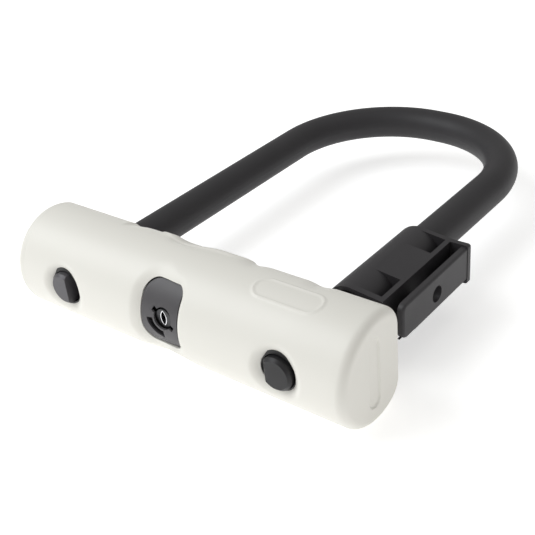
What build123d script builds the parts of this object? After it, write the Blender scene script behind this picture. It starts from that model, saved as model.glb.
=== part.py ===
from build123d import *
import math
import os

# U lock: a bent steel shackle with a vinyl coat, a crossbar in a moulded cover, and a
# carrying bracket clamped to the right leg.  Millimetres.
# X runs along the crossbar, +Y points from the crossbar to the bow, +Z is up.
# The origin is the middle of the footprint, on the plane that the crossbar rests on.

# Driving dimensions
LENGTH = 195.0            # front of the crossbar to the outside of the bow
LEG_SPACING = 96.0        # between the axes of the two legs
ROD_R = 6.0               # steel of the shackle
COAT_R = 7.0              # outside of its vinyl coat
BOW_R = 46.0              # centre-line radius of the bow's two corners
SHACKLE_Z = 20.0          # height of the plane that holds the shackle

COVER_LENGTH = 146.0
COVER_DEPTH = 33.0        # front to the flat back
COVER_ROUND_R = 19.7      # the round front of the D section
COVER_ROUND_Z = 19.3
COVER_CORNER_R = 9.0      # between the round and the flat back
COVER_WALL = 2.5
COVER_END_R = 3.0         # rounding of the two ends
WINDOW_X = (-9.8, 6.6)     # key window
WINDOW_Z = (12.7, 34.0)
CAP_SEAM = 4.5            # from the left end to the seam of the end cap
DISH_R = 39.0             # thumb dish under the key window
DISH_DEPTH = 1.5

TUBE_R = 12.6             # steel tube inside the cover
TUBE_WALL = 2.2
TUBE_Z = 21.0
KEY_Z = 22.8              # height of the key's axis
KEY_TRAVEL = 90.0         # degrees that the key turns
BOLT_TRAVEL = 5.0         # each bolt's stroke into the shackle's foot

FIT = 0.05                # gap between fixed pieces that sit in each other
RUN = 0.3                 # gap beside pieces that move

# Places that follow from the driving dimensions
FRONT_Y = -LENGTH / 2
BACK_Y = FRONT_Y + COVER_DEPTH
ROUND_Y = FRONT_Y + COVER_ROUND_R
BOW_TOP_Y = LENGTH / 2 - COAT_R
BOW_START_Y = BOW_TOP_Y - BOW_R
LEG_X = LEG_SPACING / 2
COVER_X = COVER_LENGTH / 2
TUBE_Y = BACK_Y - COVER_WALL - 0.2 - TUBE_R
TUBE_BORE_R = TUBE_R - TUBE_WALL
TUBE_X = COVER_X - COVER_WALL - 0.4
FOOT_TIP_Y = FRONT_Y + 0.2
COAT_END_Y = BACK_Y - 2.0
SIDES = (("left", -1), ("right", 1))

# Lock mechanism, front to back along Y
PLATE_R = COVER_ROUND_R - 1.8     # the key plate's outside follows the cover's round
PLATE_SKIN = 0.7                  # thin face of the key plate in front of the shutter
NOSE_TIP_Y = -94.5                # collar of the plug, seen in the key hole
SHUTTER_Y = (-92.85, -92.47)
PLUG_FRONT_Y = -92.3
HOUSING_FRONT_Y = -92.2
HOUSING_LIP = 1.4                 # length of the narrow bore in front of the plug
HOUSING_BACK_Y = -82.8
CAM_Y = (-81.8, -79.7)
ARM_Y = (-79.4, -76.8)
PIN_END_Y = -76.9
BOLT_Y = (-84.0, -76.0)
HOUSING_R = 7.0
DISC_ROOM_Y = (-90.0, -84.6)       # hollow in the plug for the discs
DISC_COUNT = 5
DISC_PITCH = 1.02
DISC_THICKNESS = 0.86
PLUG_R = 5.35
PLUG_NOSE_R = 3.9
COLLAR_NOSE_R = 3.3               # collar that reaches through the shutter
CAM_R = 6.5
CAM_PIN_R = 1.0
CAM_PIN_REACH = BOLT_TRAVEL / 2 / math.sin(math.radians(KEY_TRAVEL / 2))
BOLT_Z = (KEY_Z - 4.2, KEY_Z + 4.2)
BOLT_INNER_X = 12.0
BOLT_TIP_X = LEG_X - ROD_R - 1.2
CHASSIS_X = 38.0
SCREW_X = 22.0
SCREW_HEAD_Y = -69.4
SLOT_ANGLE = -31.0                # the shutter's key slot, from +X towards +Z
NOTCH_ANGLES = (SLOT_ANGLE, SLOT_ANGLE + 180)
TAB_ANGLE = 201.0
TAB_R = 6.6

# Carrying bracket on the right leg
BRACKET_Y = (-56.3, -9.8)          # front and rear ends on the right leg
FLANGE_Y = BRACKET_Y[1] - 2.0      # front face of the rear flange
BRACKET_HALF_HEIGHT = 7.7
COLLAR_R = 9.2
LINER_R = 7.75
WALL_X = (59.4, 61.2)              # thin wall beside the slot
RAIL_X = (65.6, 68.0)              # outer plate
RAIL_Z = (14.0, 27.0)
SLOT_FLOOR_Z = (12.3, 14.2)         # closes the slot at the bottom
POCKETS_Y = ((-22.3, -11.8), (-53.9, -42.1))
BRACKET_HOLE = (-33.0, SHACKLE_Z)
CLAMP_SCREWS_Y = (-37.0, -27.0)
CLAMP_SCREW_X = 57.0
JAW_GAP = 0.4


def rod_y(radius, x, z, y_from, y_to):
    """A round bar along Y."""
    length = y_to - y_from
    return Pos(x, (y_from + y_to) / 2, z) * Rot(90, 0, 0) * Cylinder(radius, length)


def rod_x(radius, y, z, x_from, x_to):
    """A round bar along X."""
    length = x_to - x_from
    return Pos((x_from + x_to) / 2, y, z) * Rot(0, 90, 0) * Cylinder(radius, length)


def rod_z(radius, x, y, z_from, z_to):
    """A round bar along Z."""
    return Pos(x, y, (z_from + z_to) / 2) * Cylinder(radius, z_to - z_from)


def block(x_from, x_to, y_from, y_to, z_from, z_to):
    """A box between two corners."""
    centre = ((x_from + x_to) / 2, (y_from + y_to) / 2, (z_from + z_to) / 2)
    return Pos(*centre) * Box(x_to - x_from, y_to - y_from, z_to - z_from)


def plate_y(sketch, y_from, y_to):
    """A sketch drawn in X and Z, as a plate between two depths."""
    plane = Plane(origin=(0, y_from, 0), x_dir=(1, 0, 0), z_dir=(0, -1, 0))
    return extrude(plane * sketch, -(y_to - y_from))


def edges_within(part, box):
    """The edges whose middle lies inside a box."""
    found = []
    for edge in part.edges():
        middle = edge.position_at(0.5)
        if all(low <= value <= high for value, (low, high) in zip(middle, box)):
            found.append(edge)
    return found


# --- crossbar cover

def cover_section(inset=0.0):
    """The D section in Y and Z: a round front and a flat back."""
    back = BACK_Y - inset
    round_face = Pos(ROUND_Y, COVER_ROUND_Z) * Circle(COVER_ROUND_R - inset)
    section = round_face & Pos(back - 50, 0) * Rectangle(100, 200)
    corners = section.vertices().filter_by(lambda v: v.X > back - 0.5)
    return fillet(corners, COVER_CORNER_R - inset)


def cover_block(inset, x_from, x_to):
    """The D section pulled along the crossbar."""
    plane = Plane(origin=(x_from, 0, 0), x_dir=(0, 1, 0), z_dir=(1, 0, 0))
    return extrude(plane * cover_section(inset), x_to - x_from)


def window_outline(grow=0.0):
    """The key window in X and Z: wide corners on the left, tighter ones on the right."""
    (left, right), (low, top) = WINDOW_X, WINDOW_Z
    face = Pos((left + right) / 2, (low + top) / 2) * Rectangle(right - left, top - low)
    face = fillet(face.vertices().filter_by(lambda v: v.X < 0), 5.6)
    face = fillet(face.vertices().filter_by(lambda v: v.X > 0 and v.X > right - 0.1), 2.4)
    return offset(face, grow) if grow else face


def pill_ring(length, width, rim):
    """A pill-shaped ring."""
    return SlotOverall(length, width) - SlotOverall(length - 2 * rim, width - 2 * rim)


def cover_reliefs():
    """Raised work on the outside: a grip pad over the back corner and a blank label rim."""
    pad_dir = (0, 1, 1)
    pad_plane = Plane(origin=(-2, ROUND_Y, COVER_ROUND_Z), x_dir=(1, 0, 0), z_dir=pad_dir)
    pad = extrude(pad_plane * SlotOverall(42, 18), 30) & cover_block(-0.5, -30, 30)
    tilt = math.radians(10)
    label_dir = (0, -math.sin(tilt), math.cos(tilt))
    label_plane = Plane(origin=(43, ROUND_Y, COVER_ROUND_Z), x_dir=(1, 0, 0), z_dir=label_dir)
    label = extrude(label_plane * pill_ring(26.5, 9.4, 0.9), 30) & cover_block(-0.3, 20, 60)
    return [pad, label]


def cover_hollows():
    """Sunk work on the outside: a blank pill in the right end, a thumb dish under the window."""
    middle = (COVER_X - 0.4, ROUND_Y - 2.2, COVER_ROUND_Z)
    end_plane = Plane(origin=middle, x_dir=(0, 0, 1), z_dir=(1, 0, 0))
    end_pill = extrude(end_plane * SlotOverall(25, 5.4), 2)
    reach = (COVER_ROUND_R - DISH_DEPTH + DISH_R) / math.sqrt(2)
    dish = Pos(-2, ROUND_Y - reach, COVER_ROUND_Z - reach) * Sphere(DISH_R)
    return [end_pill, dish]


def cover_inner_work():
    """Ribs and bosses that hold the tube, the bushes and the key plate."""
    cavity = cover_block(COVER_WALL - 0.3, -COVER_X + 8, COVER_X - COVER_WALL)
    pieces = [block(x - 1.5, x + 1.5, FRONT_Y, BACK_Y, 0, 40) for x in (-62, -32, 32, 62)]
    for _, side in SIDES:
        pieces.append(rod_y(9.6, side * LEG_X, SHACKLE_Z, FRONT_Y, TUBE_Y))
    frame = plate_y(window_outline(3.6), FRONT_Y, TUBE_Y)
    frame -= rod_x(14.4, ROUND_Y, COVER_ROUND_Z, -20, 20)
    pieces.append(frame)
    tube_room = rod_x(TUBE_R + 0.1, TUBE_Y, TUBE_Z, -COVER_X, COVER_X)
    return [(piece & cavity) - tube_room for piece in pieces]


def cover_openings():
    """Everything that is cut through the cover."""
    cuts = [plate_y(window_outline(), FRONT_Y - 5, TUBE_Y)]
    for _, side in SIDES:
        x = side * LEG_X
        cuts.append(rod_y(6.8, x, SHACKLE_Z, FRONT_Y - 5, TUBE_Y))
        cuts.append(rod_y(7.65, x, SHACKLE_Z, FRONT_Y + 2.6, TUBE_Y))
        cuts.append(rod_y(8.55, x, SHACKLE_Z, TUBE_Y, BACK_Y + 5))
    return cuts


def cover_whole():
    """Cover and end cap in one, before they are parted at the seam."""
    shell = cover_block(0, -COVER_X, COVER_X)
    ends = [shell.faces().sort_by(Axis.X)[0], shell.faces().sort_by(Axis.X)[-1]]
    shell = fillet([edge for face in ends for edge in face.edges()], COVER_END_R)
    shell -= block(-COVER_X - 1, COVER_X + 1, FRONT_Y, BACK_Y, -5, 0)
    for relief in cover_reliefs():
        shell += relief
    shell -= cover_block(COVER_WALL, -COVER_X + COVER_WALL, COVER_X - COVER_WALL)
    for piece in cover_inner_work():
        shell += piece
    for cut in cover_openings():
        shell -= cut
    for _, side in SIDES:
        x = side * LEG_X
        rim_box = ((x - 7.5, x + 7.5), (FRONT_Y - 1, FRONT_Y + 2.5), (12, 28))
        shell = fillet(edges_within(shell, rim_box), 2.2)
    window_box = ((-11, 9), (FRONT_Y - 1, FRONT_Y + 8.5), (WINDOW_Z[0] - 1, WINDOW_Z[1] + 1))
    outer_edges = [
        edge for edge in edges_within(shell, window_box)
        if all(abs(math.hypot(v.Y - ROUND_Y, v.Z - COVER_ROUND_Z) - COVER_ROUND_R) < 0.05
               for v in edge.vertices())
    ]
    shell = fillet(outer_edges, 2.0)
    for hollow in cover_hollows():
        shell -= hollow
    return shell


def cover_parts():
    """The sleeve, and the cap that closes its left end with a lip."""
    whole = cover_whole()
    seam = -COVER_X + CAP_SEAM
    left_of_seam = block(-COVER_X - 5, seam, -120, 0, -5, 60)
    sleeve = whole - block(-COVER_X - 5, seam + FIT, -120, 0, -5, 60)
    lip = cover_block(COVER_WALL + FIT, -COVER_X + COVER_WALL - 0.5, seam + 3)
    lip -= cover_block(COVER_WALL + 1.3, -COVER_X, seam + 4)
    lip -= rod_x(TUBE_R + 0.1, TUBE_Y, TUBE_Z, -COVER_X, 0)
    cap = (whole & left_of_seam) + lip
    return sleeve, cap


# --- crossbar inside

def crossbar_tube():
    """Steel tube with two cross bores for the feet and one for the lock cylinder."""
    tube = rod_x(TUBE_R, TUBE_Y, TUBE_Z, -TUBE_X, TUBE_X)
    tube -= rod_x(TUBE_BORE_R, TUBE_Y, TUBE_Z, -TUBE_X - 1, TUBE_X + 1)
    for _, side in SIDES:
        tube -= rod_y(ROD_R + RUN, side * LEG_X, SHACKLE_Z, -120, -50)
        tube -= rod_y(2.9, side * SCREW_X, TUBE_Z, SCREW_HEAD_Y - 0.1, -50)
        tube -= rod_y(1.6, side * SCREW_X, TUBE_Z, TUBE_Y, -50)
    return tube - rod_y(HOUSING_R + FIT, 0, KEY_Z, -120, TUBE_Y)


def tube_end_plugs():
    """Steel discs welded into the two ends of the tube."""
    thickness = 4.0
    plugs = []
    for _, side in SIDES:
        inner = side * (TUBE_X - thickness)
        outer = side * TUBE_X
        plug = rod_x(TUBE_BORE_R - FIT, TUBE_Y, TUBE_Z, min(inner, outer), max(inner, outer))
        plugs.append(chamfer(plug.edges(), 0.5))
    return plugs


def foot_bush(side):
    """Black plastic ring round the tip of a foot, behind the cover's front opening."""
    x = side * LEG_X
    bush = rod_y(7.6, x, SHACKLE_Z, FRONT_Y + 2.65, TUBE_Y)
    bush -= rod_y(ROD_R + RUN, x, SHACKLE_Z, -120, -50)
    return bush - rod_x(TUBE_R + FIT, TUBE_Y, TUBE_Z, -COVER_X, COVER_X)


def entry_seal(side):
    """Rubber ring round the coated leg where it enters the back of the cover."""
    x = side * LEG_X
    seal = rod_y(8.5, x, SHACKLE_Z, BACK_Y - 2.6, BACK_Y + 0.5)
    seal -= rod_y(COAT_R + RUN, x, SHACKLE_Z, -120, -50)
    seal = fillet(seal.edges().sort_by(Axis.Y)[-2:], 0.4)
    return seal - rod_x(TUBE_R + FIT, TUBE_Y, TUBE_Z, -COVER_X, COVER_X)


def arc_wedge(angle_from, angle_to, reach=12.0):
    """A pie slice in X and Z about the key's axis."""
    points = [(0.0, KEY_Z)]
    for step in range(5):
        angle = math.radians(angle_from + (angle_to - angle_from) * step / 4)
        points.append((reach * math.cos(angle), KEY_Z + reach * math.sin(angle)))
    return make_face(Polyline(*points, close=True))


def key_plate():
    """Charcoal plate in the key window, with the key hole and the tab's arc slot."""
    plate = plate_y(window_outline(-0.15), FRONT_Y, TUBE_Y)
    plate &= rod_x(PLATE_R, ROUND_Y, COVER_ROUND_Z, -20, 20)
    plate -= rod_x(14.6, ROUND_Y, COVER_ROUND_Z, -20, 20)
    plate -= rod_x(TUBE_R + FIT, TUBE_Y, TUBE_Z, -20, 20)
    room = rod_y(8.6, 0, KEY_Z, FRONT_Y, TUBE_Y)
    plate -= room & rod_x(PLATE_R - PLATE_SKIN, ROUND_Y, COVER_ROUND_Z, -20, 20)
    hole = Pos(0, KEY_Z) * Circle(3.9)
    for angle in NOTCH_ANGLES:
        hole += Pos(0, KEY_Z) * Rot(0, 0, angle) * Pos(2.65, 0) * Rectangle(5.3, 2.0)
    arc_slot = Pos(0, KEY_Z) * (Circle(7.5) - Circle(4.7))
    arc_slot &= arc_wedge(190, 269)
    plate -= plate_y(hole, FRONT_Y - 1, TUBE_Y)
    return plate - plate_y(arc_slot, FRONT_Y - 1, TUBE_Y)


def dust_shutter():
    """Sheet-metal disc behind the key plate; its tab shows in the arc slot."""
    disc = Pos(0, KEY_Z) * Circle(4.55)
    disc += (Pos(0, KEY_Z) * Circle(7.7)) & arc_wedge(186, 274)
    disc -= Pos(0, KEY_Z) * Rot(0, 0, SLOT_ANGLE) * SlotOverall(7.6, 6.9)
    shutter = plate_y(disc, *SHUTTER_Y)
    angle = math.radians(TAB_ANGLE)
    tab_x, tab_z = TAB_R * math.cos(angle), KEY_Z + TAB_R * math.sin(angle)
    return shutter + rod_y(0.85, tab_x, tab_z, -94.4, SHUTTER_Y[1])


def cylinder_housing():
    """Brass housing of the lock cylinder, with the sidebar's groove."""
    housing = rod_y(HOUSING_R, 0, KEY_Z, HOUSING_FRONT_Y, HOUSING_BACK_Y)
    housing &= rod_x(PLATE_R - PLATE_SKIN - 0.2, ROUND_Y, COVER_ROUND_Z, -20, 20)
    shoulder_y = HOUSING_FRONT_Y + HOUSING_LIP
    housing -= rod_y(PLUG_R + FIT, 0, KEY_Z, shoulder_y, HOUSING_BACK_Y + 1)
    housing -= rod_y(PLUG_NOSE_R + FIT, 0, KEY_Z, HOUSING_FRONT_Y - 1, HOUSING_BACK_Y)
    groove = block(-0.6, 0.6, *DISC_ROOM_Y, KEY_Z + PLUG_R - 0.3, KEY_Z + PLUG_R + 0.8)
    return housing - groove


def keyway_sketch(grow=0.0):
    """The lens-shaped keyway in X and Z."""
    half_height = 2.7 + grow
    half_width = 1.1 + grow
    radius = (half_height ** 2 + half_width ** 2) / (2 * half_width)
    shift = radius - half_width
    return (Pos(-shift, KEY_Z) * Circle(radius)) & (Pos(shift, KEY_Z) * Circle(radius))


def cylinder_plug():
    """Brass plug that the key turns; it carries the discs and the keyway ring."""
    shoulder_y = HOUSING_FRONT_Y + HOUSING_LIP + 0.1
    plug = rod_y(PLUG_R, 0, KEY_Z, shoulder_y, HOUSING_BACK_Y)
    plug += rod_y(PLUG_NOSE_R, 0, KEY_Z, PLUG_FRONT_Y, shoulder_y + 0.1)
    plug += rod_y(COLLAR_NOSE_R, 0, KEY_Z, NOSE_TIP_Y, PLUG_FRONT_Y + 0.1)
    plug -= plate_y(keyway_sketch(0.35), NOSE_TIP_Y - 1, NOSE_TIP_Y + 1.5)
    plug -= plate_y(keyway_sketch(), NOSE_TIP_Y - 1, DISC_ROOM_Y[0] + 0.1)
    plug -= rod_y(3.9, 0, KEY_Z, *DISC_ROOM_Y)
    return plug - block(-0.55, 0.55, *DISC_ROOM_Y, KEY_Z + 3.5, KEY_Z + 6)


def keyway_ring():
    """Chromed lining of the keyway."""
    ring = plate_y(keyway_sketch(0.3), NOSE_TIP_Y - 0.1, NOSE_TIP_Y + 1.4)
    return ring - plate_y(keyway_sketch(), NOSE_TIP_Y - 1, NOSE_TIP_Y + 2)


def code_discs():
    """Brass discs in the plug, each with a slot for the key and a gate."""
    discs = []
    for index in range(DISC_COUNT):
        y_from = DISC_ROOM_Y[0] + 0.2 + index * DISC_PITCH
        disc = rod_y(3.8, 0, KEY_Z, y_from, y_from + DISC_THICKNESS)
        disc -= plate_y(keyway_sketch(), y_from - 1, y_from + 2)
        gate = block(-0.6, 0.6, y_from - 1, y_from + 2, KEY_Z + 3.2, KEY_Z + 4)
        discs.append(disc - gate)
    return discs


def sidebar():
    """Steel bar over the gates that frees the plug."""
    y_from, y_to = DISC_ROOM_Y[0] + 0.2, DISC_ROOM_Y[1] - 0.2
    return block(-0.5, 0.5, y_from, y_to, KEY_Z + 4.0, KEY_Z + PLUG_R - 0.1)


def drive_cam():
    """Cam on the back of the plug: two pins that push the bolts apart."""
    cam = rod_y(CAM_R, 0, KEY_Z, *CAM_Y)
    cam += rod_y(2.4, 0, KEY_Z, HOUSING_BACK_Y + FIT, CAM_Y[0] + 0.5)
    cam -= rod_y(1.3, 0, KEY_Z, -90, -70)
    cam -= rod_y(2.0, 0, KEY_Z, CAM_Y[1] - 1.05, -70)
    start = math.radians(90 + KEY_TRAVEL / 2)
    for turn in (0, math.pi):
        x = CAM_PIN_REACH * math.cos(start + turn)
        z = KEY_Z + CAM_PIN_REACH * math.sin(start + turn)
        cam += rod_y(CAM_PIN_R, x, z, CAM_Y[0], PIN_END_Y)
    return cam


def cam_screw():
    """Screw that holds the cam to the plug."""
    screw = rod_y(1.2, 0, KEY_Z, HOUSING_BACK_Y + FIT, CAM_Y[1] - 0.5)
    screw += rod_y(1.9, 0, KEY_Z, CAM_Y[1] - 1.0, CAM_Y[1] - FIT)
    return screw - block(-0.3, 0.3, CAM_Y[1] - 0.5, CAM_Y[1] + 1, KEY_Z - 2, KEY_Z + 2)


def cylinder_clip():
    """Steel clip behind the housing that keeps the plug in."""
    clip = rod_y(6.6, 0, KEY_Z, HOUSING_BACK_Y + FIT, CAM_Y[0] - 0.15)
    clip -= rod_y(2.7, 0, KEY_Z, -90, -70)
    return clip - block(-1.5, 1.5, -90, -70, KEY_Z - 8, KEY_Z)


def lock_bolt(side):
    """Bolt that slides outwards into a foot; a thin arm reaches back to the cam's pin."""
    bolt = block(BOLT_INNER_X, BOLT_TIP_X, *BOLT_Y, *BOLT_Z)
    bolt = chamfer(bolt.faces().sort_by(Axis.X)[-1].edges(), 0.8)
    start = math.radians(90 + KEY_TRAVEL / 2)
    pin_x = CAM_PIN_REACH * math.cos(start)
    pin_low = CAM_PIN_REACH * math.sin(start)
    bolt += block(pin_x - 3.0, BOLT_INNER_X + 1, *ARM_Y, KEY_Z + 0.5, KEY_Z + 6.4)
    half_slot = CAM_PIN_R + 0.25
    slot_low = KEY_Z + pin_low - CAM_PIN_R - RUN
    slot_high = KEY_Z + CAM_PIN_REACH + CAM_PIN_R + RUN
    bolt -= block(pin_x - half_slot, pin_x + half_slot, -90, -70, slot_low, slot_high)
    if side < 0:
        bolt = bolt.rotate(Axis((0, 0, KEY_Z), (0, 1, 0)), 180)
    return bolt


def lock_chassis():
    """Die-cast body inside the tube: it guides the bolts and holds the cylinder."""
    body = rod_x(TUBE_BORE_R - FIT, TUBE_Y, TUBE_Z, -CHASSIS_X, CHASSIS_X)
    y_low, y_high = BOLT_Y[0] - RUN, BOLT_Y[1] + RUN
    for _, side in SIDES:
        inner, outer = sorted((side * (BOLT_INNER_X - 1), side * (CHASSIS_X + 1)))
        body -= block(inner, outer, y_low, y_high, BOLT_Z[0] - RUN, BOLT_Z[1] + RUN)
        body -= rod_y(1.25, side * SCREW_X, TUBE_Z, -75.4, -50)
    body -= rod_y(HOUSING_R + FIT, 0, KEY_Z, -120, HOUSING_BACK_Y)
    arm_room = BOLT_INNER_X + BOLT_TRAVEL + 1.5
    body -= block(-arm_room, arm_room, HOUSING_BACK_Y - 0.01, y_high, KEY_Z - 6.8, KEY_Z + 6.8)
    return body


def chassis_screws():
    """Two countersunk screws through the back of the tube into the chassis."""
    screws = []
    for _, side in SIDES:
        shank = rod_y(1.2, side * SCREW_X, TUBE_Z, -75.0, SCREW_HEAD_Y + 0.1)
        head = rod_y(2.8, side * SCREW_X, TUBE_Z, SCREW_HEAD_Y, -67.9)
        socket = rod_y(1.1, side * SCREW_X, TUBE_Z, -68.9, -60)
        screws.append(shank + head - socket)
    return screws


# --- shackle

def shackle_path(leg_end_y):
    """Centre line: a leg, the bow's two corners with a short straight between, a leg."""
    top = LEG_X - BOW_R
    left = Line((-LEG_X, leg_end_y), (-LEG_X, BOW_START_Y))
    left_corner = CenterArc((-top, BOW_START_Y), BOW_R, 180, -90)
    middle = Line((-top, BOW_TOP_Y), (top, BOW_TOP_Y))
    right_corner = CenterArc((top, BOW_START_Y), BOW_R, 90, -90)
    right = Line((LEG_X, BOW_START_Y), (LEG_X, leg_end_y))
    edges = (left, left_corner, middle, right_corner, right)
    return Wire([edge.moved(Location((0, 0, SHACKLE_Z))) for edge in edges])


def shackle_sweep(radius, leg_end_y):
    """A round bar along the shackle's centre line."""
    start = Plane(origin=(-LEG_X, leg_end_y, SHACKLE_Z), x_dir=(1, 0, 0), z_dir=(0, 1, 0))
    return sweep(start * Circle(radius), path=shackle_path(leg_end_y))


def shackle_bar():
    """Hardened steel bar: chamfered tips and a bolt notch inside each foot."""
    bar = shackle_sweep(ROD_R, FOOT_TIP_Y)
    tips = [edge for edge in bar.edges() if edge.center().Y < FOOT_TIP_Y + 0.1]
    bar = chamfer(tips, 0.9)
    for _, side in SIDES:
        near, far = sorted((side * (LEG_X - ROD_R - 1), side * (LEG_X - 1.8)))
        bar -= block(near, far, BOLT_Y[0] - 0.6, BOLT_Y[1] + 0.6, 10, 30)
    flat = block(-LEG_X + 2.2, -LEG_X + ROD_R + 1, FOOT_TIP_Y - 1, FOOT_TIP_Y + 7, 10, 30)
    bevel = Pos(LEG_X - ROD_R, FOOT_TIP_Y, SHACKLE_Z) * Rot(0, 0, 45) * Box(3.4, 3.4, 30)
    return bar - flat - bevel


def shackle_coating():
    """Vinyl coat, from one back seal to the other."""
    return shackle_sweep(COAT_R, COAT_END_Y) - shackle_sweep(ROD_R + 0.03, COAT_END_Y - 1)


# --- carrying bracket

def bracket_core():
    """Collar round the leg with the pocketed block beside it, both halves."""
    low, high = SHACKLE_Z - BRACKET_HALF_HEIGHT, SHACKLE_Z + BRACKET_HALF_HEIGHT
    collar = rod_y(COLLAR_R, LEG_X, SHACKLE_Z, *BRACKET_Y)
    core = collar + block(LEG_X, WALL_X[1], *BRACKET_Y, low, high)
    reach, rise = WALL_X[1] - LEG_X, high - SHACKLE_Z
    touch = math.atan2(rise, reach) + math.acos(COLLAR_R / math.hypot(rise, reach))
    touch_x = LEG_X + COLLAR_R * math.cos(touch)
    touch_z = SHACKLE_Z + COLLAR_R * math.sin(touch)
    corners = ((LEG_X, SHACKLE_Z), (WALL_X[1], SHACKLE_Z), (WALL_X[1], high), (touch_x, touch_z))
    shoulder = make_face(Polyline(*corners, close=True))
    core += plate_y(shoulder, *BRACKET_Y)
    for y_from, y_to in POCKETS_Y:
        for z_from, z_to in ((SHACKLE_Z + 2.2, high + 3), (low - 1, SHACKLE_Z - 2.2)):
            core -= block(LEG_X, WALL_X[0], y_from, y_to, z_from, z_to) - collar
    return core - rod_y(LINER_R + FIT, LEG_X, SHACKLE_Z, -120, 0)


def bracket_jaw_room(gap):
    """The space of the lower jaw: under the middle plane, short of wall and flange."""
    return block(0, WALL_X[0] - gap, BRACKET_Y[0] - 1, FLANGE_Y - gap, 0, SHACKLE_Z - gap)


def bracket_rail():
    """Rear flange, outer plate and floor round the slot for the frame holder."""
    low, high = SHACKLE_Z - BRACKET_HALF_HEIGHT, SHACKLE_Z + BRACKET_HALF_HEIGHT
    flange = block(LEG_X, RAIL_X[1] + 0.2, FLANGE_Y, BRACKET_Y[1], low, high)
    flange -= rod_y(COAT_R + 1.5, LEG_X, SHACKLE_Z, -120, 0)
    flange = fillet([e for e in flange.edges().filter_by(Axis.Y) if e.center().X > RAIL_X[1]], 1.0)
    rail = block(*RAIL_X, BRACKET_Y[0] + 1.5, BRACKET_Y[1], *RAIL_Z)
    front_edges = [e for e in rail.edges().filter_by(Axis.X) if e.center().Y < -50]
    rail = fillet(front_edges, 2.5)
    outer_face = rail.faces().sort_by(Axis.X)[-1]
    rail = fillet([e for e in outer_face.edges() if e.center().Y < FLANGE_Y + 0.5], 1.0)
    floor = block(WALL_X[1] - 0.2, RAIL_X[1] - 1.6, BRACKET_Y[0] + 1.5, FLANGE_Y + 0.2, *SLOT_FLOOR_Z)
    return flange + floor + (rail - rod_x(3.0, *BRACKET_HOLE, 60, 80))


def bracket_body():
    """Upper half of the bracket, in one moulding with the flange and outer plate."""
    body = bracket_core() - bracket_jaw_room(0) + bracket_rail()
    for y in CLAMP_SCREWS_Y:
        body -= rod_z(1.75, CLAMP_SCREW_X, y, SHACKLE_Z + 3.2, SHACKLE_Z + 6.9)
        body -= rod_z(1.1, CLAMP_SCREW_X, y, SHACKLE_Z - 1, SHACKLE_Z + 4)
    return body


def bracket_jaw():
    """Lower half, which two screws pull up against the leg."""
    jaw = bracket_core() & bracket_jaw_room(JAW_GAP)
    low = SHACKLE_Z - BRACKET_HALF_HEIGHT
    for y in CLAMP_SCREWS_Y:
        jaw -= rod_z(1.1, CLAMP_SCREW_X, y, low - 1, SHACKLE_Z + 1)
        jaw -= rod_z(1.95, CLAMP_SCREW_X, y, low - 1, low + 2.4)
    return jaw


def bracket_liner():
    """Rubber sleeve between the leg's coat and the bracket."""
    liner = rod_y(LINER_R, LEG_X, SHACKLE_Z, BRACKET_Y[0] + 1, FLANGE_Y - 1)
    return liner - rod_y(COAT_R + FIT, LEG_X, SHACKLE_Z, -120, 0)


def bracket_screws():
    """Socket screws of the bracket's jaw."""
    low = SHACKLE_Z - BRACKET_HALF_HEIGHT
    screws = []
    for y in CLAMP_SCREWS_Y:
        screw = rod_z(1.85, CLAMP_SCREW_X, y, low + 0.3, low + 2.3)
        screw += rod_z(1.0, CLAMP_SCREW_X, y, low + 2.2, SHACKLE_Z + 6.5)
        screws.append(screw - rod_z(0.9, CLAMP_SCREW_X, y, low - 1, low + 1.5))
    return screws


def bracket_inserts():
    """Brass threaded inserts for those screws."""
    inserts = []
    for y in CLAMP_SCREWS_Y:
        sleeve = rod_z(1.7, CLAMP_SCREW_X, y, SHACKLE_Z + 3.25, SHACKLE_Z + 6.8)
        inserts.append(sleeve - rod_z(1.0 + FIT, CLAMP_SCREW_X, y, SHACKLE_Z, SHACKLE_Z + 8))
    return inserts


# --- writing

def all_nodes():
    """Every node by name."""
    sleeve, cap = cover_parts()
    nodes = {
        "cover_sleeve": sleeve,
        "cover_end_cap": cap,
        "crossbar_tube": crossbar_tube(),
        "tube_end_plugs": tube_end_plugs(),
        "key_plate": key_plate(),
        "dust_shutter": dust_shutter(),
        "lock_chassis": lock_chassis(),
        "chassis_screws": chassis_screws(),
        "cylinder_housing": cylinder_housing(),
        "cylinder_clip": cylinder_clip(),
        "cylinder_plug": cylinder_plug(),
        "keyway_ring": keyway_ring(),
        "code_discs": code_discs(),
        "sidebar": sidebar(),
        "drive_cam": drive_cam(),
        "cam_screw": cam_screw(),
        "shackle_bar": shackle_bar(),
        "shackle_coating": shackle_coating(),
        "bracket_body": bracket_body(),
        "bracket_jaw": bracket_jaw(),
        "bracket_liner": bracket_liner(),
        "bracket_screws": bracket_screws(),
        "bracket_inserts": bracket_inserts(),
    }
    for name, side in SIDES:
        nodes[f"{name}_bolt"] = lock_bolt(side)
        nodes[f"{name}_foot_bush"] = foot_bush(side)
        nodes[f"{name}_entry_seal"] = entry_seal(side)
    return nodes


os.makedirs("parts", exist_ok=True)
for node, shape in all_nodes().items():
    if isinstance(shape, list):
        shape = Compound(children=shape)
    export_step(shape, f"parts/{node}.step")
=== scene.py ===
import math

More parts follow.
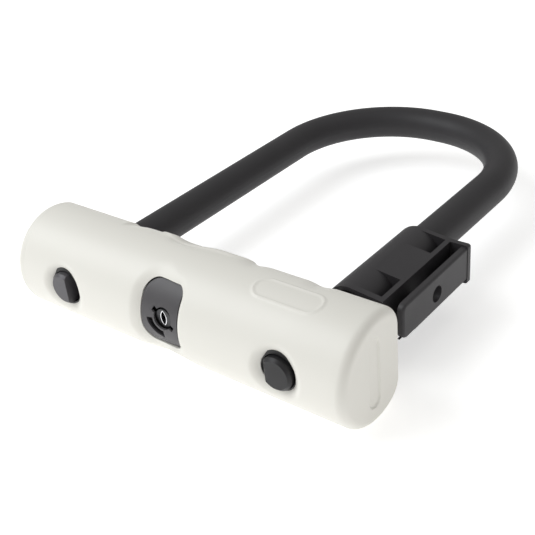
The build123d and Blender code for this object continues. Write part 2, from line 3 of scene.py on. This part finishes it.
import bpy
import numpy as np
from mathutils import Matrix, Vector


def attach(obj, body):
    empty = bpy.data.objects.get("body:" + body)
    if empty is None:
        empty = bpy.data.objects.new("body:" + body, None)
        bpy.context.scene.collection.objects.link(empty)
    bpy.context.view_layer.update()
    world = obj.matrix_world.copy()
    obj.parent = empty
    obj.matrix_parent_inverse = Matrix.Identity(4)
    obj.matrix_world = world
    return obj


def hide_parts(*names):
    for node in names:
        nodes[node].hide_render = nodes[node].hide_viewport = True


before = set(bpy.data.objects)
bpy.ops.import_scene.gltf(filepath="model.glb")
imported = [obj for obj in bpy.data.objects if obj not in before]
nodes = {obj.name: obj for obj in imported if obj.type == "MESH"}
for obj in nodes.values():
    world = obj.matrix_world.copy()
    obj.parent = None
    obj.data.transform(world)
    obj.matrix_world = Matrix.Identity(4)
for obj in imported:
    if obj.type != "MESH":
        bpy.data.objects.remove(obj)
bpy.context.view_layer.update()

# --- Studio --------------------------------------------------------------------
# A seamless white table that glows a little, a broad soft light high on the left, a
# weak one overhead, and a bright room. The camera stands in front of the crossbar's
# right end. This section's places are in metres, all later sizes in millimetres.
MM = 0.001
ROOM_COLOUR = (1.0, 0.99, 0.965, 1)
ROOM_STRENGTH = 0.47
CAMERA_LENS = 64.05
CAMERA_PLACE = (0.199206, -0.271019, 0.197030)
CAMERA_TURN = (58.83, 4.88, 37.76)
NEAREST_SEEN = 0.01
TABLE_SIZE = 6
TABLE_Z = -0.00002
TABLE_GLOW = 0.47
GLOSS_SPREAD = 0.05
GRAIN_STRENGTH = 0.6

bpy.ops.object.select_all(action="DESELECT")
bpy.context.scene.view_settings.view_transform = "Standard"
room = bpy.data.worlds.new("studio_room")
room.use_nodes = True
room.node_tree.nodes["Background"].inputs["Color"].default_value = ROOM_COLOUR
room.node_tree.nodes["Background"].inputs["Strength"].default_value = ROOM_STRENGTH
bpy.context.scene.world = room

camera_data = bpy.data.cameras.new("studio_camera")
camera_data.lens = CAMERA_LENS
camera_data.clip_start = NEAREST_SEEN
camera = bpy.data.objects.new("studio_camera", camera_data)
camera.location = CAMERA_PLACE
camera.rotation_euler = [math.radians(turn) for turn in CAMERA_TURN]
bpy.context.scene.collection.objects.link(camera)
bpy.context.scene.camera = camera


def soft_light(name, place, aim, size, watts, colour=(1, 1, 1)):
    """A square studio light that looks at a point of the table."""
    lamp = bpy.data.lights.new(name, "AREA")
    lamp.size = size
    lamp.energy = watts
    lamp.color = colour
    holder = bpy.data.objects.new(name, lamp)
    holder.location = place
    towards = Vector(aim) - Vector(place)
    holder.rotation_euler = towards.to_track_quat("-Z", "Y").to_euler()
    bpy.context.scene.collection.objects.link(holder)


soft_light(
    "light_high_left", place=(-0.55, -0.45, 0.75), aim=(0, -0.03, 0.02),
    size=0.7, watts=5.9, colour=(0.95, 0.98, 1.0),
)
soft_light("light_overhead", place=(0.1, 0.25, 0.95), aim=(0, 0, 0), size=0.8, watts=0.45)


def soft_finish(
    name, colour, second, blotch_mm, roughness, grain_mm, grain_depth_mm,
    metallic=0.0, gleam=0.5,
):
    """A surface of two near colours in soft blotches, with uneven gloss and a fine grain."""
    material = bpy.data.materials.new(name)
    material.use_nodes = True
    tree = material.node_tree
    shader = tree.nodes["Principled BSDF"]
    shader.inputs["Metallic"].default_value = metallic
    shader.inputs["Specular IOR Level"].default_value = gleam
    place = tree.nodes.new("ShaderNodeTexCoord")
    blotch = tree.nodes.new("ShaderNodeTexNoise")
    blotch.inputs["Scale"].default_value = 1000 / blotch_mm
    blotch.inputs["Detail"].default_value = 3
    tint = tree.nodes.new("ShaderNodeMix")
    tint.data_type = "RGBA"
    tint.inputs["A"].default_value = (*colour, 1)
    tint.inputs["B"].default_value = (*second, 1)
    gloss = tree.nodes.new("ShaderNodeMapRange")
    gloss.inputs["To Min"].default_value = roughness - GLOSS_SPREAD
    gloss.inputs["To Max"].default_value = roughness + GLOSS_SPREAD
    grain = tree.nodes.new("ShaderNodeTexNoise")
    grain.inputs["Scale"].default_value = 1000 / grain_mm
    grain.inputs["Detail"].default_value = 2
    bump = tree.nodes.new("ShaderNodeBump")
    bump.inputs["Strength"].default_value = GRAIN_STRENGTH
    bump.inputs["Distance"].default_value = grain_depth_mm * MM
    link = tree.links.new
    link(place.outputs["Object"], blotch.inputs["Vector"])
    link(place.outputs["Object"], grain.inputs["Vector"])
    link(blotch.outputs["Fac"], tint.inputs["Factor"])
    link(blotch.outputs["Fac"], gloss.inputs["Value"])
    link(tint.outputs["Result"], shader.inputs["Base Color"])
    link(gloss.outputs["Result"], shader.inputs["Roughness"])
    link(grain.outputs["Fac"], bump.inputs["Height"])
    link(bump.outputs["Normal"], shader.inputs["Normal"])
    return material


def paint(piece, material):
    """Gives a piece one material."""
    piece.data.materials.clear()
    piece.data.materials.append(material)


table_white = soft_finish(
    "table_white", (0.95, 0.95, 0.95), (0.93, 0.93, 0.93),
    blotch_mm=300, roughness=0.6, grain_mm=2, grain_depth_mm=0.01,
)
bpy.ops.mesh.primitive_plane_add(size=TABLE_SIZE, location=(0, 0, TABLE_Z))
table = bpy.context.object
table.name = "table"
table_shader = table_white.node_tree.nodes["Principled BSDF"]
table_shader.inputs["Emission Color"].default_value = (1, 1, 1, 1)
table_shader.inputs["Emission Strength"].default_value = TABLE_GLOW
paint(table, table_white)

# --- Crossbar cover ------------------------------------------------------------
# One white moulded sleeve with a soft touch: round front, flat back, rolled rims round
# its front openings, a thumb dish, a raised pad, dips in the top's back edge and blank
# label places. A cap closes its left end; its seam is a shallow groove here.
HALF_LENGTH = 73.0
ROUND_Y, ROUND_Z, ROUND_R = -77.8, 19.3, 19.7
CORNER_Y, CORNER_RISE, CORNER_R = -73.5, 9.798, 9.0
BACK_POINTS, CORNER_POINTS, ROUND_POINTS = 12, 14, 190
END_R = 3.0
WALL = 2.5
INNER_RINGS = 12
COVER_SMOOTH_ANGLE = 32

LEG_X, LEG_Z = 48.0, 20.0
FOOT_HOLE_R, FOOT_RIM_WIDTH, FOOT_RIM_DEPTH = 6.8, 3.4, 2.3
ENTRY_HOLE_R = 8.55
WINDOW_X, WINDOW_Z = (-9.8, 6.6), (12.7, 34.0)
WINDOW_CORNERS = (5.6, 2.4)
PLATE_GAP = 0.4
FLARE_WIDTH, FLARE_LEFT_EXTRA, FLARE_CHANGE, FLARE_DEPTH = 2.6, 1.7, 8, 2.2
RIM_CURVE = 1.6
CUT_FRONT_Y, WINDOW_BACK_Y, FOOT_BACK_Y = -105, -84.6, -85
ENTRY_Y = (-72, -60)

# The dish is a ball pressed into the lower front; the pad and the label lie on the
# round skin at a turn from the back, each a pill with half its straight length.
DISH_X, DISH_R, DISH_DEPTH, DISH_SOFT = -2, 39.0, 1.5, 0.35
PAD_X, PAD_HALF, PAD_R, PAD_HEIGHT, PAD_TURN = -2, 12, 9, 0.5, 45
PAD_EDGE, PAD_SOFT = -0.4, 1.4
LABEL_X, LABEL_HALF, LABEL_R, LABEL_TURN = 43, 8.55, 4.7, 100
LABEL_RIM_HEIGHT, LABEL_RIM_WIDTH, LABEL_RIM_SOFT = 0.3, 0.9, 0.5
SEAM_X, SEAM_DEPTH, SEAM_WIDTH = -68.5, 0.18, 0.18
# Start, lowest place and end along X, and depth, of each dip in the top's back edge.
DIPS = ((-37, -35.5, -27, 0.7), (-17, -9.5, 6, 1.3), (15, 21, 27, 0.6), (41, 47, 53, 0.6))
DIP_SKIN, DIP_REACH, DIP_SOFT = 3.5, 7, 7

# Stretches along X with the step between sections: fine at the seam, rims and window.
STRETCHES = (
    (SEAM_X, -68.0, 0.12), (-68.0, -60, 1.5), (-60, -34, 0.5), (-34, -17, 1.0),
    (-17, 12, 0.45), (12, 27, 1.0), (27, 61, 0.5), (61, 68.5, 1.5),
)
END_FACE_ROWS, END_FACE_START = 34, 0.04
END_FACE_Y = ROUND_Y + 1.8
END_ROUND_ROWS, END_ROUND_START = 9, 80
RECESS_Y = ROUND_Y - 2.2
RECESS_HALF, RECESS_R, RECESS_DEPTH, RECESS_SOFT = 9.8, 2.9, 0.6, 0.6
corner_turn = math.atan2(CORNER_RISE, CORNER_Y - ROUND_Y)


def arc_samples(y, z, radius, start, end, count):
    """Centre, direction and radius of points along one arc of the cover's section."""
    turns = np.linspace(start, end, count, endpoint=False)
    return [(y, z, turn, radius) for turn in turns]


top_corner_z = ROUND_Z + CORNER_RISE
low_corner_z = ROUND_Z - CORNER_RISE
round_end = 2 * math.pi - corner_turn
section = []
for height in np.linspace(-CORNER_RISE, CORNER_RISE, BACK_POINTS, endpoint=False):
    section.append((CORNER_Y, ROUND_Z + height, 0.0, CORNER_R))
section += arc_samples(CORNER_Y, top_corner_z, CORNER_R, 0, corner_turn, CORNER_POINTS)
section += arc_samples(ROUND_Y, ROUND_Z, ROUND_R, corner_turn, round_end, ROUND_POINTS)
section += arc_samples(CORNER_Y, low_corner_z, CORNER_R, round_end, 2 * math.pi, CORNER_POINTS)
section = np.array(section)


def section_points(x, inset):
    """Points of the cover's section at x, each pushed in by its own inset."""
    reach = section[:, 3] - inset
    y = section[:, 0] + reach * np.cos(section[:, 2])
    z = section[:, 1] + reach * np.sin(section[:, 2])
    return np.stack([np.full(len(y), float(x)), y, z], axis=1)


def window_gap(x, z):
    """Distance outside the key window's outline, seen from the front."""
    middle = sum(WINDOW_X) / 2
    corner = np.where(x < middle, WINDOW_CORNERS[0], WINDOW_CORNERS[1])
    over_x = np.maximum(WINDOW_X[0] + corner - x, x - WINDOW_X[1] + corner)
    over_z = np.maximum(WINDOW_Z[0] + corner - z, z - WINDOW_Z[1] + corner)
    outside = np.hypot(np.maximum(over_x, 0), np.maximum(over_z, 0))
    return outside + np.minimum(np.maximum(over_x, over_z), 0) - corner


def rolled(gap, width, depth):
    """Depth of a rolled rim at a distance from the opening's edge."""
    near = 1 - np.clip(gap, 0, width) / width
    return depth * near ** RIM_CURVE


def smooth_rise(value, start, end):
    """0 before the start, 1 after the end, soft between."""
    t = np.clip((value - start) / (end - start), 0, 1)
    return t * t * (3 - 2 * t)


def step_down(value, edge, soft):
    """1 below the edge, 0 above it, with a soft change between."""
    t = np.clip((value - edge) / soft + 0.5, 0, 1)
    return 1 - t * t * (3 - 2 * t)


def pill_gap(along, across, half, radius):
    """Distance outside a pill whose straight part reaches half each way."""
    return np.hypot(np.maximum(abs(along) - half, 0), across) - radius


def skin_from(turn):
    """Length along the round skin from a turn in degrees, for each section point."""
    return ROUND_R * (section[:, 2] - math.radians(turn))


def cover_inset(x):
    """How far each point of the section at x lies under the plain cover."""
    base = section_points(x, 0.0)
    y, z = base[:, 1], base[:, 2]
    front = y < ROUND_Y
    top_half = section[:, 2] < math.pi
    inset = np.zeros(len(y))
    for leg in (-LEG_X, LEG_X):
        gap = np.hypot(x - leg, z - LEG_Z) - FOOT_HOLE_R
        inset += np.where(front, rolled(gap, FOOT_RIM_WIDTH, FOOT_RIM_DEPTH), 0)
    flare = FLARE_WIDTH + FLARE_LEFT_EXTRA * step_down(x, 0, FLARE_CHANGE)
    inset += np.where(front, rolled(window_gap(x, z), flare, FLARE_DEPTH), 0)

    ball = (ROUND_R - DISH_DEPTH + DISH_R) / math.sqrt(2)
    far = np.sqrt((x - DISH_X) ** 2 + (y - ROUND_Y + ball) ** 2 + (z - ROUND_Z + ball) ** 2)
    inside = np.clip((DISH_R - far) / DISH_SOFT, -30, 30)
    inset += DISH_SOFT * np.log1p(np.exp(inside))

    pad_skin = skin_from(PAD_TURN)
    pad = step_down(pill_gap(x - PAD_X, pad_skin, PAD_HALF, PAD_R), PAD_EDGE, PAD_SOFT)
    inset -= np.where(top_half, PAD_HEIGHT * pad, 0)

    label = pill_gap(x - LABEL_X, skin_from(LABEL_TURN), LABEL_HALF, LABEL_R)
    label_rim = step_down(label, 0.0, LABEL_RIM_SOFT)
    label_rim = label_rim - step_down(label, -LABEL_RIM_WIDTH, LABEL_RIM_SOFT)
    inset -= np.where(top_half, LABEL_RIM_HEIGHT * label_rim, 0)
    inset += SEAM_DEPTH * np.exp(-(((x - SEAM_X) / SEAM_WIDTH) ** 2))

    dip = 0.0
    for start, lowest, end, depth in DIPS:
        dip += depth * smooth_rise(x, start, lowest) * (1 - smooth_rise(x, lowest, end))
    edge = step_down(abs(pad_skin - DIP_SKIN), DIP_REACH, DIP_SOFT)
    inset += np.where(top_half, dip * edge, 0)
    return inset


def spaced(start, end, step):
    """Evenly spaced stations, the end left out."""
    count = max(1, round((end - start) / step))
    return list(np.linspace(start, end, count, endpoint=False))


def end_rows(side):
    """Rings of one end, from the middle of its face out over its rounded edge."""
    centre = np.array([side * HALF_LENGTH, END_FACE_Y, ROUND_Z])
    rows = []
    for share in np.linspace(END_FACE_START, 1, END_FACE_ROWS):
        ring = section_points(side * HALF_LENGTH, END_R)
        ring = centre + (ring - centre) * share
        if side > 0:
            gap = pill_gap(ring[:, 2] - ROUND_Z, ring[:, 1] - RECESS_Y, RECESS_HALF, RECESS_R)
            ring[:, 0] -= RECESS_DEPTH * step_down(gap, 0, RECESS_SOFT)
        rows.append(ring)
    for turn in np.radians(np.linspace(END_ROUND_START, 0, END_ROUND_ROWS)):
        x = side * (HALF_LENGTH - END_R * (1 - math.sin(turn)))
        rows.append(section_points(x, END_R * (1 - math.cos(turn))))
    return rows


def closed_tube(rings, outwards=True):
    """Vertices and faces of a tube through rings of equal count, closed at both ends."""
    count = len(rings[0])
    points = [p for ring in rings for p in ring]
    faces = []
    for row in range(len(rings) - 1):
        for i in range(count):
            a, b = row * count + i, row * count + (i + 1) % count
            faces.append((a, a + count, b + count, b))
    faces.append(tuple(range(count)))
    last = (len(rings) - 1) * count
    faces.append(tuple(last + i for i in reversed(range(count))))
    if not outwards:
        faces = [face[::-1] for face in faces]
    return points, faces


stations = [x for stretch in STRETCHES for x in spaced(*stretch)]
stations.append(STRETCHES[-1][1])
rings = end_rows(-1)
rings += [section_points(x, cover_inset(x)) for x in stations]
rings += end_rows(1)[::-1]
outer_points, outer_faces = closed_tube(rings)
inner_x = HALF_LENGTH - WALL
inner_rings = [section_points(x, WALL) for x in np.linspace(-inner_x, inner_x, INNER_RINGS)]
inner_points, inner_faces = closed_tube(inner_rings, outwards=False)
points = np.array(outer_points + inner_points)
points[:, 2] = np.maximum(points[:, 2], 0.0)
faces = outer_faces + [tuple(i + len(outer_points) for i in face) for face in inner_faces]
cover_mesh = bpy.data.meshes.new("cover_shell")
cover_mesh.from_pydata((points * MM).tolist(), [], faces)
cover = bpy.data.objects.new("cover_shell", cover_mesh)
bpy.context.scene.collection.objects.link(cover)


def only(piece):
    """Selects one piece and makes it the active one."""
    bpy.ops.object.select_all(action="DESELECT")
    piece.select_set(True)
    bpy.context.view_layer.objects.active = piece


def cut(piece, cutter):
    """Cuts one piece with another, which is then thrown away."""
    only(piece)
    boolean = piece.modifiers.new("cut", "BOOLEAN")
    boolean.operation = "DIFFERENCE"
    boolean.object = cutter
    boolean.solver = "EXACT"
    bpy.ops.object.modifier_apply(modifier="cut")
    bpy.data.objects.remove(cutter)


def prism_y(name, outline, y_from, y_to):
    """A closed prism along Y over an outline in X and Z, in millimetres."""
    count = len(outline)
    points = [(x, y, z) for y in (y_from, y_to) for x, z in outline]
    faces = [tuple(range(count)), tuple(count + i for i in reversed(range(count)))]
    for i in range(count):
        j = (i + 1) % count
        faces.append((i, i + count, j + count, j))
    mesh = bpy.data.meshes.new(name)
    mesh.from_pydata((np.array(points) * MM).tolist(), [], faces)
    solid = bpy.data.objects.new(name, mesh)
    bpy.context.scene.collection.objects.link(solid)
    only(solid)
    bpy.ops.object.mode_set(mode="EDIT")
    bpy.ops.mesh.select_all(action="SELECT")
    bpy.ops.mesh.normals_make_consistent(inside=False)
    bpy.ops.object.mode_set(mode="OBJECT")
    return solid


def circle_outline(x, z, radius, count=72):
    """Points of a circle in X and Z."""
    turns = np.linspace(0, 2 * math.pi, count, endpoint=False)
    return [(x + radius * math.cos(t), z + radius * math.sin(t)) for t in turns]


def window_outline(points_per_corner=14):
    """The key window's outline, wider than the plate by its gap, from the top left."""
    outline = []
    for side, rise, start in ((0, 1, 90), (0, 0, 180), (1, 0, 270), (1, 1, 0)):
        corner = WINDOW_CORNERS[side]
        centre_x = WINDOW_X[side] + corner * (1 - 2 * side)
        centre_z = WINDOW_Z[rise] + corner * (1 - 2 * rise)
        reach = corner + PLATE_GAP
        for turn in np.radians(np.linspace(start, start + 90, points_per_corner)):
            outline.append((centre_x + reach * math.cos(turn), centre_z + reach * math.sin(turn)))
    return outline


cut(cover, prism_y("window_cutter", window_outline(), CUT_FRONT_Y, WINDOW_BACK_Y))
for leg in (-LEG_X, LEG_X):
    foot_hole = circle_outline(leg, LEG_Z, FOOT_HOLE_R)
    cut(cover, prism_y("foot_cutter", foot_hole, CUT_FRONT_Y, FOOT_BACK_Y))
    entry_hole = circle_outline(leg, LEG_Z, ENTRY_HOLE_R)
    cut(cover, prism_y("leg_cutter", entry_hole, *ENTRY_Y))
only(cover)
bpy.ops.object.shade_smooth_by_angle(angle=math.radians(COVER_SMOOTH_ANGLE))
cover_white = soft_finish(
    "cover_white", (0.80, 0.785, 0.735), (0.775, 0.76, 0.705),
    blotch_mm=30, roughness=0.45, grain_mm=0.35, grain_depth_mm=0.012,
)
paint(cover, cover_white)
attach(cover, "crossbar")
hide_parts("cover_sleeve", "cover_end_cap")

# --- Coated shackle ------------------------------------------------------------
# A hardened bar bent to a U, its feet dark from heat treatment, under a charcoal vinyl coat
# that is slipped on and ends inside the crossbar. Painted light and shade make the left foot
# lighter and the right one darker.
FOOT_LIGHT_FADE_X = 30
# Painted light on the left foot and painted shade on the right one: factors that multiply the
# steel's colour.
LEFT_FOOT_PAINTED_LIGHT, RIGHT_FOOT_PAINTED_SHADE = 1.25, 0.25


def paint_nodes(material, *names):
    """Gives one material to CAD pieces, by name."""
    for name in names:
        paint(nodes[name], material)


vinyl = soft_finish(
    "charcoal_vinyl", (0.034, 0.032, 0.035), (0.028, 0.027, 0.029),
    blotch_mm=18, roughness=0.52, grain_mm=0.5, grain_depth_mm=0.02, gleam=0.3,
)
paint_nodes(vinyl, "shackle_coating")
dark_steel = soft_finish(
    "dark_steel", (0.075, 0.072, 0.078), (0.062, 0.060, 0.065),
    blotch_mm=6, roughness=0.42, grain_mm=0.3, grain_depth_mm=0.01, metallic=0.35,
)
paint_nodes(dark_steel, "shackle_bar")
# Painted light and shade: a ramp along X multiplies the steel's colour, lighter at the left foot
# and darker at the right one.
steel_tree = dark_steel.node_tree
steel_place = steel_tree.nodes.new("ShaderNodeTexCoord")
steel_axes = steel_tree.nodes.new("ShaderNodeSeparateXYZ")
painted_light_ramp = steel_tree.nodes.new("ShaderNodeMapRange")
painted_light_ramp.inputs["From Min"].default_value = -FOOT_LIGHT_FADE_X * MM
painted_light_ramp.inputs["From Max"].default_value = FOOT_LIGHT_FADE_X * MM
painted_light_ramp.inputs["To Min"].default_value = LEFT_FOOT_PAINTED_LIGHT
painted_light_ramp.inputs["To Max"].default_value = RIGHT_FOOT_PAINTED_SHADE
painted_light_mix = steel_tree.nodes.new("ShaderNodeMix")
painted_light_mix.data_type = "RGBA"
painted_light_mix.blend_type = "MULTIPLY"
painted_light_mix.inputs["Factor"].default_value = 1
steel_shader = steel_tree.nodes["Principled BSDF"]
steel_tint = steel_shader.inputs["Base Color"].links[0].from_socket
steel_tree.links.new(steel_place.outputs["Object"], steel_axes.inputs["Vector"])
steel_tree.links.new(steel_axes.outputs["X"], painted_light_ramp.inputs["Value"])
steel_tree.links.new(steel_tint, painted_light_mix.inputs["A"])
steel_tree.links.new(painted_light_ramp.outputs["Result"], painted_light_mix.inputs["B"])
steel_tree.links.new(painted_light_mix.outputs["Result"], steel_shader.inputs["Base Color"])

# --- Carrying bracket ----------------------------------------------------------
# Two nylon mouldings clamp round the right leg over a rubber sleeve, pulled together by
# two socket screws in brass inserts. The upper half is a copy of the CAD piece with
# rounded edges, and the floor of its slot is cut back at the front.
MERGE_GAP = 0.002
FLAT_ANGLE, EDGE_ANGLE, SMOOTH_ANGLE = 0.5, 40, 35
EDGE_ROUND, EDGE_STEPS = 0.35, 2
TRIM_LEFT, TRIM_STEP, TRIM_RIGHT = 61.3, 65.58, 67
TRIM_LOW, TRIM_LEDGE, TRIM_TOP = 12, 13.98, 14.5
TRIM_Y = (-56, -45)

nylon = soft_finish(
    "bracket_nylon", (0.033, 0.031, 0.034), (0.028, 0.026, 0.029),
    blotch_mm=12, roughness=0.5, grain_mm=0.4, grain_depth_mm=0.02, gleam=0.4,
)
paint_nodes(nylon, "bracket_jaw")
bracket = nodes["bracket_body"].copy()
bracket.data = nodes["bracket_body"].data.copy()
bracket.data.transform(nodes["bracket_body"].matrix_world)
bracket.parent = None
bracket.matrix_world = Matrix.Identity(4)
bracket.name = "bracket_shell"
bpy.context.scene.collection.objects.link(bracket)
only(bracket)
bpy.ops.object.mode_set(mode="EDIT")
bpy.ops.mesh.select_all(action="SELECT")
bpy.ops.mesh.remove_doubles(threshold=MERGE_GAP * MM)
bpy.ops.mesh.dissolve_limited(angle_limit=math.radians(FLAT_ANGLE))
bpy.ops.object.mode_set(mode="OBJECT")
floor_front = [
    (TRIM_LEFT, TRIM_LOW), (TRIM_RIGHT, TRIM_LOW), (TRIM_RIGHT, TRIM_LEDGE),
    (TRIM_STEP, TRIM_LEDGE), (TRIM_STEP, TRIM_TOP), (TRIM_LEFT, TRIM_TOP),
]
cut(bracket, prism_y("floor_cutter", floor_front, *TRIM_Y))
rounding = bracket.modifiers.new("rounding", "BEVEL")
rounding.width = EDGE_ROUND * MM
rounding.segments = EDGE_STEPS
rounding.limit_method = "ANGLE"
rounding.angle_limit = math.radians(EDGE_ANGLE)
bpy.ops.object.modifier_apply(modifier="rounding")
bpy.ops.object.shade_smooth_by_angle(angle=math.radians(SMOOTH_ANGLE))
evened = bracket.modifiers.new("evened", "WEIGHTED_NORMAL")
evened.keep_sharp = True
bpy.ops.object.modifier_apply(modifier="evened")
paint(bracket, nylon)
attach(bracket, "shackle")
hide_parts("bracket_body")
rubber = soft_finish(
    "black_rubber", (0.018, 0.018, 0.018), (0.012, 0.012, 0.012),
    blotch_mm=8, roughness=0.7, grain_mm=0.3, grain_depth_mm=0.02,
)
paint_nodes(rubber, "bracket_liner")
zinc = soft_finish(
    "zinc_plate", (0.60, 0.60, 0.62), (0.52, 0.52, 0.55),
    blotch_mm=2, roughness=0.3, grain_mm=0.2, grain_depth_mm=0.005, metallic=1.0,
)
paint_nodes(zinc, "bracket_screws")
brass = soft_finish(
    "brass", (0.72, 0.52, 0.22), (0.62, 0.44, 0.18),
    blotch_mm=4, roughness=0.3, grain_mm=0.3, grain_depth_mm=0.005, metallic=1.0,
)
paint_nodes(brass, "bracket_inserts")

# --- Key window ----------------------------------------------------------------
# A charcoal plate closes the window round the key's hole. Behind it are a blackened
# sheet steel shutter and housing, and the plug with a chromed lining in its keyway.
plate_grey = soft_finish(
    "plate_grey", (0.082, 0.078, 0.083), (0.070, 0.067, 0.071),
    blotch_mm=8, roughness=0.42, grain_mm=0.3, grain_depth_mm=0.008, gleam=0.4,
)
paint_nodes(plate_grey, "key_plate")
black_steel = soft_finish(
    "black_steel", (0.004, 0.004, 0.004), (0.003, 0.003, 0.003),
    blotch_mm=5, roughness=0.6, grain_mm=0.3, grain_depth_mm=0.006, gleam=0.1,
)
paint_nodes(black_steel, "dust_shutter", "cylinder_housing")
plug_grey = soft_finish(
    "plug_grey", (0.035, 0.035, 0.038), (0.02, 0.02, 0.022),
    blotch_mm=2, roughness=0.35, grain_mm=0.2, grain_depth_mm=0.02, metallic=0.3,
)
paint_nodes(plug_grey, "cylinder_plug")
chrome = soft_finish(
    "chrome", (0.85, 0.85, 0.87), (0.80, 0.80, 0.83),
    blotch_mm=3, roughness=0.12, grain_mm=0.3, grain_depth_mm=0.001, metallic=1.0,
)
paint_nodes(chrome, "keyway_ring")

# --- Foot bushes and entry seals -----------------------------------------------
# Black plastic rings line the two foot openings in the front of the crossbar, and
# rubber rings close its back round the coated legs. All four are pressed in.
black_plastic = soft_finish(
    "black_plastic", (0.012, 0.012, 0.012), (0.008, 0.008, 0.008),
    blotch_mm=5, roughness=0.5, grain_mm=0.3, grain_depth_mm=0.01,
)
paint_nodes(black_plastic, "left_foot_bush", "right_foot_bush")
paint_nodes(rubber, "left_entry_seal", "right_entry_seal")

# --- Inside the crossbar -------------------------------------------------------
# A hardened tube with welded end discs, a die-cast chassis that guides two ground
# bolts and is held by zinc-plated screws, and the plug's discs, clip, sidebar and cam.
tube_steel = soft_finish(
    "tube_steel", (0.42, 0.42, 0.44), (0.34, 0.34, 0.36),
    blotch_mm=10, roughness=0.4, grain_mm=0.5, grain_depth_mm=0.01, metallic=1.0,
)
paint_nodes(tube_steel, "crossbar_tube", "tube_end_plugs")
ground_steel = soft_finish(
    "ground_steel", (0.50, 0.50, 0.52), (0.44, 0.44, 0.46),
    blotch_mm=5, roughness=0.28, grain_mm=0.2, grain_depth_mm=0.004, metallic=1.0,
)
paint_nodes(ground_steel, "left_bolt", "right_bolt", "drive_cam", "cylinder_clip", "sidebar")
cast_zinc = soft_finish(
    "cast_zinc", (0.50, 0.50, 0.52), (0.42, 0.42, 0.44),
    blotch_mm=6, roughness=0.5, grain_mm=0.4, grain_depth_mm=0.02, metallic=1.0,
)
paint_nodes(cast_zinc, "lock_chassis")
paint_nodes(zinc, "chassis_screws", "cam_screw")
paint_nodes(brass, "code_discs")
